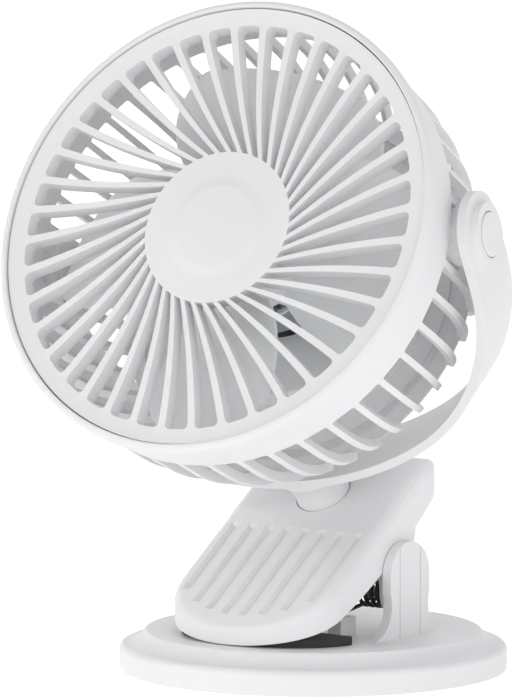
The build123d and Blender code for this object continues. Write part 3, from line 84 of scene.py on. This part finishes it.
# The part of the top whose edges stay crisp.
CRISP_DEPTHS = (-0.2, 1.1 + GROOVE_DENT)
CRISP_HALF_WIDTH = 26.5

# Disc in the middle of the grille: radius and height of its points over the hub plate's front.
HUB_FRONT = 23.9
DISC_CROWN = [(0, 1.0), (6.0, 0.97), (10.5, 0.9)]
DISC_STEP_START, DISC_STEP_RUN = 12.5, 4.2
DISC_STEP_TOP, DISC_STEP_DROP = 0.82, 0.8
DISC_STEP_POINTS = 12
DISC_SKIRT = [(16.7, -0.25), (0, -0.25)]

# Rear screws: circle they stand on, height of their faces, and radius and height along the head.
SCREW_COUNT = 4
SCREW_CIRCLE = 41.5
SCREW_FACE = -40.4
SCREW_LENGTH = 9.0
SCREW_HEAD = [(0, 0.0), (1.2, 0.05), (2.25, 0.22), (2.5, 0.4), (2.6, 0.6), (2.6, 1.0)]
SCREW_SHANK_RADIUS = 1.4
SCREW_TIP_RADIUS, SCREW_TIP_LENGTH = 0.9, 0.8
SCREW_STEPS = 32
DRIVE_WIDTH, DRIVE_LENGTH, DRIVE_DEPTH = 0.6, 2.6, 0.6

# Torsion springs: hinge axis (Y, Z), wire, coil from its inner end outwards, and the two legs.
HINGE = (4.7, 25.0)
WIRE_RADIUS = 0.65
WIRE_SIDES = 16
COIL_RADIUS = 4.35
COIL_PITCH = 2.4
COIL_INNER_X = 15.8
COIL_START, COIL_END = -82.0, -17.5 + 4 * 360.0
COIL_STEPS = 120
BASE_LEG, JAW_LEG = 14.5, 17.0

# ---- Measures of the studio, in metres and degrees -----------------------------------------------
CAMERA_PLACE = (0.68696, -0.92645, 0.18344)
CAMERA_TURN, CAMERA_DIP = 37.45, 4.1
CAMERA_SENSOR_MM, CAMERA_LENS_MM = 36.0, 256.6
CAMERA_CLIP = (0.05, 50.0)

# White paper sweep: a floor from SWEEP_NEAR to SWEEP_BEND_START, a bend and a wall behind it.
SWEEP_NEAR, SWEEP_BEND_START = -6.0, 4.4
SWEEP_BEND_RADIUS = 1.5
SWEEP_TOP = 5.0
SWEEP_HALF_WIDTH = 6.0
SWEEP_GLOW = 0.42

# Sky: white on the camera's left and below, greyer on its right and above.
SKY_STRENGTH = 0.9
SKY_WHITE, SKY_GREY = "#ffffff", "#cacacc"
SKY_SIDEWAYS, SKY_UPWARDS = 0.45, 0.9
SKY_WHITE_BELOW = -0.3

# Lamps: name, place, height aimed at over the origin, size, power in watts and spread in degrees.
LAMPS = (
    ("key", (-0.9, -1.2, 0.2), 0.1, 1.2, 1.4, 180),
    ("front", (1.25, -0.75, 0.5), 0.1, 0.8, 3.2, 180),
    ("top", (0.2, 0.0, 1.6), 0.1, 1.4, 0.4, 180),
    ("foot", (-0.6, -0.7, 0.45), -0.03, 0.25, 0.02, 12),
)


# ---- Making materials ----------------------------------------------------------------------------
def linear(hex_colour):
    """Linear colour from an sRGB hex value."""
    channels = [int(hex_colour[i : i + 2], 16) / 255 for i in (1, 3, 5)]
    return [c / 12.92 if c <= 0.04045 else ((c + 0.055) / 1.055) ** 2.4 for c in channels] + [1.0]


def add(tree, kind, links=None, **settings):
    """Adds one node: settings are its properties, inputs its values by name, links its sources."""
    node = tree.nodes.new(kind)
    inputs = settings.pop("inputs", {})
    for name, value in settings.items():
        setattr(node, name, value)
    for name, value in inputs.items():
        node.inputs[name].default_value = value
    for name, source in (links or {}).items():
        tree.links.new(source, node.inputs[name])
    return node


def new_material(name):
    """Empty material with its tree, its shader and its Object coordinates."""
    material = bpy.data.materials.new(name)
    material.use_nodes = True
    tree = material.node_tree
    tree.nodes.clear()
    shader = add(tree, "ShaderNodeBsdfPrincipled")
    add(tree, "ShaderNodeOutputMaterial", {"Surface": shader.outputs["BSDF"]})
    place = add(tree, "ShaderNodeTexCoord").outputs["Object"]
    return material, tree, shader, place


def noise(tree, place, size_mm, detail):
    """Noise at a place, with features of about size_mm."""
    inputs = {"Scale": 1 / (size_mm * MM), "Detail": detail}
    return add(tree, "ShaderNodeTexNoise", {"Vector": place}, inputs=inputs).outputs["Fac"]


def emboss(tree, shader, height, **bump):
    """Bends the shader's normals by a height; bump holds the Bump node's values."""
    relief = add(tree, "ShaderNodeBump", {"Height": height}, inputs=bump)
    tree.links.new(relief.outputs["Normal"], shader.inputs["Normal"])


def moulded_plastic(name, light, dark, roughness, grain_mm, grain_depth_mm):
    """Injection-moulded plastic: a faint flow of tone, and the mould's fine spark-eroded grain."""
    material, tree, shader, place = new_material(name)
    flow = noise(tree, place, 60, 2.0)
    tone = add(tree, "ShaderNodeValToRGB", {"Fac": flow})
    for end, position, colour in zip(tone.color_ramp.elements, (0.35, 0.65), (dark, light)):
        end.position = position
        end.color = linear(colour)
    tree.links.new(tone.outputs["Color"], shader.inputs["Base Color"])
    grain = noise(tree, place, grain_mm, 3.0)
    band = {"From Min": 0.3, "From Max": 0.7}
    band |= {"To Min": roughness - 0.04, "To Max": roughness + 0.05}
    sheen = add(tree, "ShaderNodeMapRange", {"Value": grain}, inputs=band)
    tree.links.new(sheen.outputs["Result"], shader.inputs["Roughness"])
    emboss(tree, shader, grain, Strength=0.25, Distance=grain_depth_mm * MM)
    shader.inputs["IOR"].default_value = 1.53
    shader.inputs["Specular IOR Level"].default_value = 0.3
    return material


def translucent(material, weight, depth_mm):
    """Lets light scatter inside a thin white moulding."""
    shader = next(n for n in material.node_tree.nodes if n.type == "BSDF_PRINCIPLED")
    shader.inputs["Subsurface Weight"].default_value = weight
    shader.inputs["Subsurface Radius"].default_value = (1.0, 1.0, 1.0)
    shader.inputs["Subsurface Scale"].default_value = depth_mm * MM
    return material


def plated_steel(name, colour, roughness, scratch_mm):
    """Zinc-plated or drawn steel: bright metal with short fine scratches."""
    material, tree, shader, place = new_material(name)
    stretch = {"Scale": (1.0, 1.0, 8.0)}
    stretched = add(tree, "ShaderNodeMapping", {"Vector": place}, inputs=stretch).outputs["Vector"]
    scratches = noise(tree, stretched, scratch_mm, 4.0)
    band = {"To Min": roughness - 0.08, "To Max": roughness + 0.12}
    wear = add(tree, "ShaderNodeMapRange", {"Value": scratches}, inputs=band)
    tree.links.new(wear.outputs["Result"], shader.inputs["Roughness"])
    shader.inputs["Base Color"].default_value = linear(colour)
    shader.inputs["Metallic"].default_value = 1.0
    return material


def moulded_rubber(name, light, dark, grain_mm):
    """Moulded silicone rubber: matt charcoal with a pebbled grain and a little dust in it."""
    material, tree, shader, place = new_material(name)
    grain = {"Scale": 1 / (grain_mm * MM)}
    pebbles = add(tree, "ShaderNodeTexVoronoi", {"Vector": place}, inputs=grain)
    dust = noise(tree, place, 9, 3.0)
    tone = add(tree, "ShaderNodeMix", {"Factor": dust}, data_type="RGBA")
    colour_a, colour_b, mixed = tone.inputs[6], tone.inputs[7], tone.outputs[2]
    colour_a.default_value = linear(dark)
    colour_b.default_value = linear(light)
    tree.links.new(mixed, shader.inputs["Base Color"])
    emboss(tree, shader, pebbles.outputs["Distance"], Strength=0.3, Distance=0.1 * MM)
    shader.inputs["Roughness"].default_value = 0.78
    return material


# Material of each slot. Plastics take light and dark tone, roughness, grain size and depth in mm.
shell_white = moulded_plastic("abs_satin_white", "#eaeaeb", "#e7e7e8", 0.5, 0.7, 0.02)
blade_white = moulded_plastic("abs_blade_white", "#f4f6f7", "#f1f4f5", 0.36, 0.9, 0.02)
FINISH = {
    "white_plastic": shell_white,
    "blade_plastic": translucent(blade_white, 0.6, 6),
    "underside_plastic": moulded_plastic(
        "abs_matt_underside", "#e4e4e4", "#dededf", 0.6, 0.6, 0.04
    ),
    "nylon": moulded_plastic("nylon_natural", "#e6e4dc", "#dedbd2", 0.5, 0.8, 0.03),
    "black_plastic": moulded_plastic("pbt_black", "#1b1b1d", "#151517", 0.55, 0.6, 0.04),
    "battery_wrap": moulded_plastic(
        "pvc_sleeve_grey_blue", "#6d7f8c", "#647684", 0.3, 1.5, 0.02
    ),
    "board_green": moulded_plastic("solder_mask_green", "#1f5a34", "#194b2b", 0.35, 0.5, 0.03),
    "dark_rubber": moulded_rubber("silicone_rubber_charcoal", "#3c3c3d", "#2e2e2f", 0.8),
    "steel": plated_steel("steel_zinc_plated", "#c9ccd0", 0.32, 0.6),
    "spring_steel": plated_steel("steel_black_oxide_wire", "#3b3c3e", 0.34, 0.4),
    "motor_steel": plated_steel("steel_nickel_can", "#b9c2c8", 0.25, 0.5),
    "lamp_lens": moulded_plastic("acrylic_light_pipe", "#eef4f6", "#e6eef2", 0.12, 1.2, 0.01),
}
BEHAVIOUR = frame["record"]["behaviour"]
SLOT_OF = {part["node"]: part["material_slot"] for part in frame["record"]["subparts"]}
BODY_OF = {node: body for body, nodes in BEHAVIOUR["bodies"].items() for node in nodes}
JOINT = {joint["name"]: joint for joint in BEHAVIOUR["joints"]}

for node, piece in frame["nodes"].items():
    piece.data.materials.clear()
    piece.data.materials.append(FINISH[SLOT_OF[node]])


# ---- Adding pieces -------------------------------------------------------------------------------
def new_piece(name, mesh):
    """Object of a mesh, linked to the scene."""
    piece = bpy.data.objects.new(name, mesh)
    bpy.context.scene.collection.objects.link(piece)
    return piece


def plain(piece):
    """Turns a piece with modifiers into a plain mesh."""
    bpy.context.view_layer.update()
    graph = bpy.context.evaluated_depsgraph_get()
    mesh = bpy.data.meshes.new_from_object(
        piece.evaluated_get(graph), preserve_all_data_layers=True, depsgraph=graph
    )
    piece.modifiers.clear()
    piece.data = mesh


def settled(piece, node):
    """Makes a piece plain, puts it on the node's body and lets it stand for the node."""
    plain(piece)
    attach(piece, BODY_OF[node])
    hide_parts(node)


# ---- Softened shells -----------------------------------------------------------------------------
def softened(node, round_mm, spare=None, dent=None):
    """Copy of a moulded piece with rounded edges, as a mould leaves them; it stands for the node.

    Edges with both ends where spare(place) is true stay as they are; dent(place) is how far each
    corner moves before the rounding.
    """
    sharp_angle = math.radians(SHARP_ANGLE)
    mesh = bpy.data.meshes.new(f"{node}_softened")
    work = bmesh.new()
    work.from_mesh(frame["nodes"][node].data)
    bmesh.ops.remove_doubles(work, verts=work.verts, dist=WELD * MM)
    bmesh.ops.dissolve_limit(
        work, angle_limit=math.radians(FLAT_ANGLE), verts=work.verts, edges=work.edges
    )
    if dent is not None:
        for corner in work.verts:
            corner.co += dent(corner.co)
    weights = work.edges.layers.float.new("bevel_weight_edge")
    for edge in work.edges:
        sharp = len(edge.link_faces) == 2 and edge.calc_face_angle() > sharp_angle
        spared = spare is not None and all(spare(corner.co) for corner in edge.verts)
        edge[weights] = 1.0 if sharp and not spared else 0.0
    work.to_mesh(mesh)
    work.free()
    for layer in [a.name for a in mesh.attributes if a.name == "custom_normal"]:
        mesh.attributes.remove(mesh.attributes[layer])
    mesh.materials.append(FINISH[SLOT_OF[node]])
    mesh.shade_smooth()
    mesh.set_sharp_from_angle(angle=sharp_angle)
    piece = new_piece(f"{node}_softened", mesh)
    bevel = piece.modifiers.new("round", "BEVEL")
    bevel.limit_method = "WEIGHT"
    bevel.width = round_mm * MM
    bevel.segments = ROUND_SEGMENTS
    bevel.use_clamp_overlap = True
    bevel.harden_normals = True
    even = piece.modifiers.new("even", "WEIGHTED_NORMAL")
    even.keep_sharp = True
    settled(piece, node)


def under_crown(place):
    """Depth in mm of a place under the upper jaw's sloping top."""
    slope = math.radians(JAW_SLOPE)
    y, z = place.y / MM - JAW_RIB_END[0], place.z / MM - JAW_RIB_END[1]
    return y * math.sin(slope) - z * math.cos(slope)


def in_jaw_grooves(place):
    """True on and just under the sloping top, where the grip grooves keep their crisp edges."""
    lowest, deepest = CRISP_DEPTHS
    return lowest < under_crown(place) < deepest and abs(place.x / MM) < CRISP_HALF_WIDTH


def groove_dent(place):
    """Sinks the floors of the grip grooves a little deeper than the source cuts them."""
    x, y = place.x / MM, place.y / MM
    middle = (round(x / GROOVE_PITCH - 0.5) + 0.5) * GROOVE_PITCH
    nose = JAW_NOSE_Y - JAW_NOSE_DEPTH * math.sqrt(max(0.0, 1 - (x / JAW_HALF_WIDTH) ** 2))
    in_groove = abs(x - middle) < GROOVE_FLOOR_HALF_WIDTH and abs(x) < GROOVE_FIELD_HALF_WIDTH
    shallow, deep = GROOVE_FLOOR_DEPTHS
    if not (in_groove and y > nose + GROOVE_NOSE_GAP and shallow < under_crown(place) < deep):
        return Vector((0, 0, 0))
    slope = math.radians(JAW_SLOPE)
    return Vector((0, math.sin(slope), -math.cos(slope))) * GROOVE_DENT * MM


# ---- Hub disc and screws -------------------------------------------------------------------------
def head_frame():
    """Matrix of the fan head at its tilt pivot: X along the tilt axis, Z towards the grille."""
    across = -Vector(JOINT["head_tilt"]["axis"])
    flow = -Vector(JOINT["impeller_spin"]["axis"])
    turn = Matrix((across, flow.cross(across), flow)).transposed().to_4x4()
    return Matrix.Translation(JOINT["head_tilt"]["pos_m"]) @ turn


def revolved(name, profile, steps=96):
    """Mesh turned about Z from (radius, height) points in mm, the first and last on the axis."""
    mesh = bpy.data.meshes.new(name)
    work = bmesh.new()
    turns = [2 * math.pi * k / steps for k in range(steps)]
    rings = []
    for radius, height in profile:
        ring = []
        for turn in turns if radius else turns[:1]:
            across, along = radius * MM * math.cos(turn), radius * MM * math.sin(turn)
            ring.append(work.verts.new((across, along, height * MM)))
        rings.append(ring)
    for low, high in zip(rings, rings[1:]):
        for k in range(steps):
            a, b = low[k % len(low)], low[(k + 1) % len(low)]
            c, d = high[(k + 1) % len(high)], high[k % len(high)]
            work.faces.new(list(dict.fromkeys((a, b, c, d))))
    bmesh.ops.recalc_face_normals(work, faces=work.faces)
    work.to_mesh(mesh)
    work.free()
    mesh.shade_smooth()
    mesh.set_sharp_from_angle(angle=math.radians(40))
    return mesh


def hub_disc():
    """Plain disc in the middle of the grille that meets it in one soft step."""
    step = []
    for k in range(DISC_STEP_POINTS + 1):
        way = k / DISC_STEP_POINTS
        drop = DISC_STEP_DROP * (3 * way * way - 2 * way**3)
        step.append((DISC_STEP_START + DISC_STEP_RUN * way, DISC_STEP_TOP - drop))
    profile = [(radius, HUB_FRONT + height) for radius, height in DISC_CROWN + step + DISC_SKIRT]
    mesh = revolved("hub_disc", profile)
    mesh.transform(head_frame())
    mesh.materials.append(shell_white)
    settled(new_piece("hub_disc", mesh), "hub_cap")


def tree_with(name, sockets):
    """Geometry Nodes group that takes a geometry and named lengths, with its ends."""
    tree = bpy.data.node_groups.new(name, "GeometryNodeTree")
    for way in ("INPUT", "OUTPUT"):
        tree.interface.new_socket("Geometry", in_out=way, socket_type="NodeSocketGeometry")
    for label, value in sockets.items():
        socket = tree.interface.new_socket(label, in_out="INPUT", socket_type="NodeSocketFloat")
        socket.default_value = value
    given = tree.nodes.new("NodeGroupInput").outputs
    return tree, given, tree.nodes.new("NodeGroupOutput")


def grown(piece, tree, last, out, material):
    """Ends a tree in Realize Instances and Set Material, and puts it on the piece."""
    whole = add(tree, "GeometryNodeRealizeInstances", {"Geometry": last}).outputs[0]
    coat = {"Material": material}
    dressed = add(tree, "GeometryNodeSetMaterial", {"Geometry": whole}, inputs=coat)
    tree.links.new(dressed.outputs[0], out.inputs[0])
    piece.modifiers.new(tree.name, "NODES").node_group = tree


def pan_screws(name, node, place):
    """A ring of pan-head screws with cross recesses, heads towards -Z of place."""
    shank_end = SCREW_LENGTH - SCREW_TIP_LENGTH
    shank = [(SCREW_SHANK_RADIUS, SCREW_HEAD[-1][1]), (SCREW_SHANK_RADIUS, shank_end)]
    tip = [(SCREW_TIP_RADIUS, SCREW_LENGTH), (0, SCREW_LENGTH)]
    piece = new_piece(name, revolved(name, SCREW_HEAD + shank + tip, SCREW_STEPS))
    sockets = {
        "Circle Radius": SCREW_CIRCLE * MM,
        "Drive Width": DRIVE_WIDTH * MM,
        "Drive Length": DRIVE_LENGTH * MM,
        "Drive Depth": DRIVE_DEPTH * MM,
    }
    tree, given, out = tree_with(name, sockets)
    bars = add(tree, "GeometryNodeJoinGeometry")
    for sides in (("Drive Length", "Drive Width"), ("Drive Width", "Drive Length")):
        links = {"X": given[sides[0]], "Y": given[sides[1]], "Z": given["Drive Depth"]}
        size = add(tree, "ShaderNodeCombineXYZ", links).outputs[0]
        bar = add(tree, "GeometryNodeMeshCube", {"Size": size})
        tree.links.new(bar.outputs["Mesh"], bars.inputs[0])
    driven = add(tree, "GeometryNodeMeshBoolean", operation="DIFFERENCE", solver="EXACT")
    tree.links.new(given["Geometry"], driven.inputs["Mesh 1"])
    tree.links.new(bars.outputs[0], driven.inputs["Mesh 2"])
    links = {"Radius": given["Circle Radius"]}
    ring = add(tree, "GeometryNodeMeshCircle", links, inputs={"Vertices": SCREW_COUNT})
    corner = {"Rotation": (0, 0, math.pi / 4), "Translation": (0, 0, SCREW_FACE * MM)}
    turned = add(tree, "GeometryNodeTransform", {"Geometry": ring.outputs[0]}, inputs=corner)
    links = {"Points": turned.outputs[0], "Instance": driven.outputs["Mesh"]}
    screws = add(tree, "GeometryNodeInstanceOnPoints", links).outputs[0]
    location, rotation, _ = place.decompose()
    seat = {"Translation": location, "Rotation": rotation.to_euler()}
    placed = add(tree, "GeometryNodeTransform", {"Geometry": screws}, inputs=seat)
    grown(piece, tree, placed.outputs[0], out, FINISH["steel"])
    settled(piece, node)


# ---- Springs -------------------------------------------------------------------------------------
def wire_piece(name, path_mm):
    """Round wire along a path of points, grown from a bare line."""
    mesh = bpy.data.meshes.new(name)
    points = [Vector(point) * MM for point in path_mm]
    mesh.from_pydata(points, [(k, k + 1) for k in range(len(points) - 1)], [])
    piece = new_piece(name, mesh)
    tree, given, out = tree_with(name, {"Wire Radius": WIRE_RADIUS * MM})
    line = add(tree, "GeometryNodeMeshToCurve", {"Mesh": given["Geometry"]}).outputs[0]
    links, sides = {"Radius": given["Wire Radius"]}, {"Resolution": WIRE_SIDES}
    section = add(tree, "GeometryNodeCurvePrimitiveCircle", links, inputs=sides).outputs[0]
    links = {"Curve": line, "Profile Curve": section}
    wire = add(tree, "GeometryNodeCurveToMesh", links, inputs={"Fill Caps": True}).outputs[0]
    smooth = add(tree, "GeometryNodeSetShadeSmooth", {"Geometry": wire}).outputs[0]
    grown(piece, tree, smooth, out, FINISH["spring_steel"])
    return piece


def coil_point(side, angle):
    """Middle of the coil's wire in mm, at an angle about the hinge from +Y towards +Z."""
    turn = math.radians(angle)
    x = COIL_INNER_X + COIL_PITCH * (angle - COIL_START) / 360.0
    y = HINGE[0] + COIL_RADIUS * math.cos(turn)
    z = HINGE[1] + COIL_RADIUS * math.sin(turn)
    return Vector((side * x, y, z))


def leg_way(angle):
    """Direction in which the wire leaves the coil at an angle."""
    turn = math.radians(angle)
    return Vector((0, -math.sin(turn), math.cos(turn)))


def torsion_spring(side, node):
    """Coil and lower leg on the base, and the upper leg on the jaw, which turns it."""
    base_end = coil_point(side, COIL_START) - leg_way(COIL_START) * BASE_LEG
    swept = COIL_END - COIL_START
    angles = [COIL_START + swept * k / COIL_STEPS for k in range(COIL_STEPS + 1)]
    coil = [coil_point(side, angle) for angle in angles]
    settled(wire_piece(f"{node}_coil", [base_end] + coil), node)
    upper = wire_piece(f"{node}_jaw_leg", [coil[-1], coil[-1] + leg_way(COIL_END) * JAW_LEG])
    plain(upper)
    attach(upper, "jaw")


# ---- Camera, sweep and light ---------------------------------------------------------------------
TURN = math.radians(CAMERA_TURN)
DIP = math.radians(CAMERA_DIP)
RIGHTWARDS = Vector((math.cos(TURN), math.sin(TURN), 0))
BACKWARDS = Vector((-math.sin(TURN), math.cos(TURN), 0))


def facing(way):
    """Rotation of a camera or lamp that looks along a direction."""
    return way.to_track_quat("-Z", "Y").to_euler()


def camera():
    """Camera that takes the photo's view."""
    lens = bpy.data.cameras.new("camera")
    lens.sensor_fit = "HORIZONTAL"
    lens.sensor_width = CAMERA_SENSOR_MM
    lens.lens = CAMERA_LENS_MM
    lens.clip_start, lens.clip_end = CAMERA_CLIP
    holder = new_piece("camera", lens)
    holder.location = CAMERA_PLACE
    holder.rotation_euler = facing(BACKWARDS * math.cos(DIP) - Vector((0, 0, math.sin(DIP))))
    bpy.context.scene.camera = holder


def sweep():
    """Curved white paper under and far behind the part."""
    mesh = bpy.data.meshes.new("sweep")
    start, radius = SWEEP_BEND_START, SWEEP_BEND_RADIUS
    profile = [(SWEEP_NEAR, 0.0), (start, 0.0)]
    for turn in range(5, 95, 5):
        bend = math.radians(turn)
        profile.append((start + radius * math.sin(bend), radius - radius * math.cos(bend)))
    profile.append((start + radius, SWEEP_TOP))
    edge = RIGHTWARDS * SWEEP_HALF_WIDTH
    middle = [BACKWARDS * run + Vector((0, 0, rise)) for run, rise in profile]
    corners = [place + side for place in middle for side in (-edge, edge)]
    panels = [(k, k + 1, k + 3, k + 2) for k in range(0, len(corners) - 2, 2)]
    mesh.from_pydata(corners, [], panels)
    mesh.shade_smooth()
    paper, tree, shader, place = new_material("sweep_white_paper")
    emboss(tree, shader, noise(tree, place, 4, 3.0), Strength=0.05)
    shader.inputs["Base Color"].default_value = linear("#f6f6f6")
    shader.inputs["Roughness"].default_value = 0.9
    shader.inputs["Specular IOR Level"].default_value = 0.1
    shader.inputs["Emission Color"].default_value = linear("#ffffff")
    shader.inputs["Emission Strength"].default_value = SWEEP_GLOW
    mesh.materials.append(paper)
    new_piece("sweep", mesh)


def sky():
    """Light all round that leaves the right-hand upper side a little greyer."""
    world = bpy.data.worlds.new("studio")
    bpy.context.scene.world = world
    world.use_nodes = True
    tree = world.node_tree
    background = tree.nodes["Background"]
    background.inputs["Strength"].default_value = SKY_STRENGTH
    around = add(tree, "ShaderNodeTexCoord").outputs["Generated"]
    lean = add(tree, "ShaderNodeVectorMath", {0: around}, operation="DOT_PRODUCT")
    lean.inputs[1].default_value = RIGHTWARDS * SKY_SIDEWAYS + Vector((0, 0, SKY_UPWARDS))
    links, low = {"Value": lean.outputs["Value"]}, {"From Min": SKY_WHITE_BELOW}
    shade = add(tree, "ShaderNodeMapRange", links, inputs=low)
    tint = add(tree, "ShaderNodeValToRGB", {"Fac": shade.outputs["Result"]})
    tint.color_ramp.elements[0].color = linear(SKY_WHITE)
    tint.color_ramp.elements[1].color = linear(SKY_GREY)
    tree.links.new(tint.outputs["Color"], background.inputs["Color"])


def lamps():
    """Soft lamps that face the part."""
    for name, place, aim, size, power, spread in LAMPS:
        lamp = bpy.data.lights.new(name, "AREA")
        lamp.size = size
        lamp.energy = power
        lamp.spread = math.radians(spread)
        holder = new_piece(name, lamp)
        holder.location = place
        holder.rotation_euler = facing(Vector((0, 0, aim)) - Vector(place))


camera()
sweep()
sky()
lamps()
bpy.context.scene.view_settings.view_transform = "Standard"

for node, round_mm in ROUNDED.items():
    softened(node, round_mm)
softened("upper_jaw", JAW_ROUND, spare=in_jaw_grooves, dent=groove_dent)
hub_disc()
pan_screws("rear_pan_screws", "rear_screws", head_frame())
torsion_spring(-1, "torsion_spring_left")
torsion_spring(1, "torsion_spring_right")
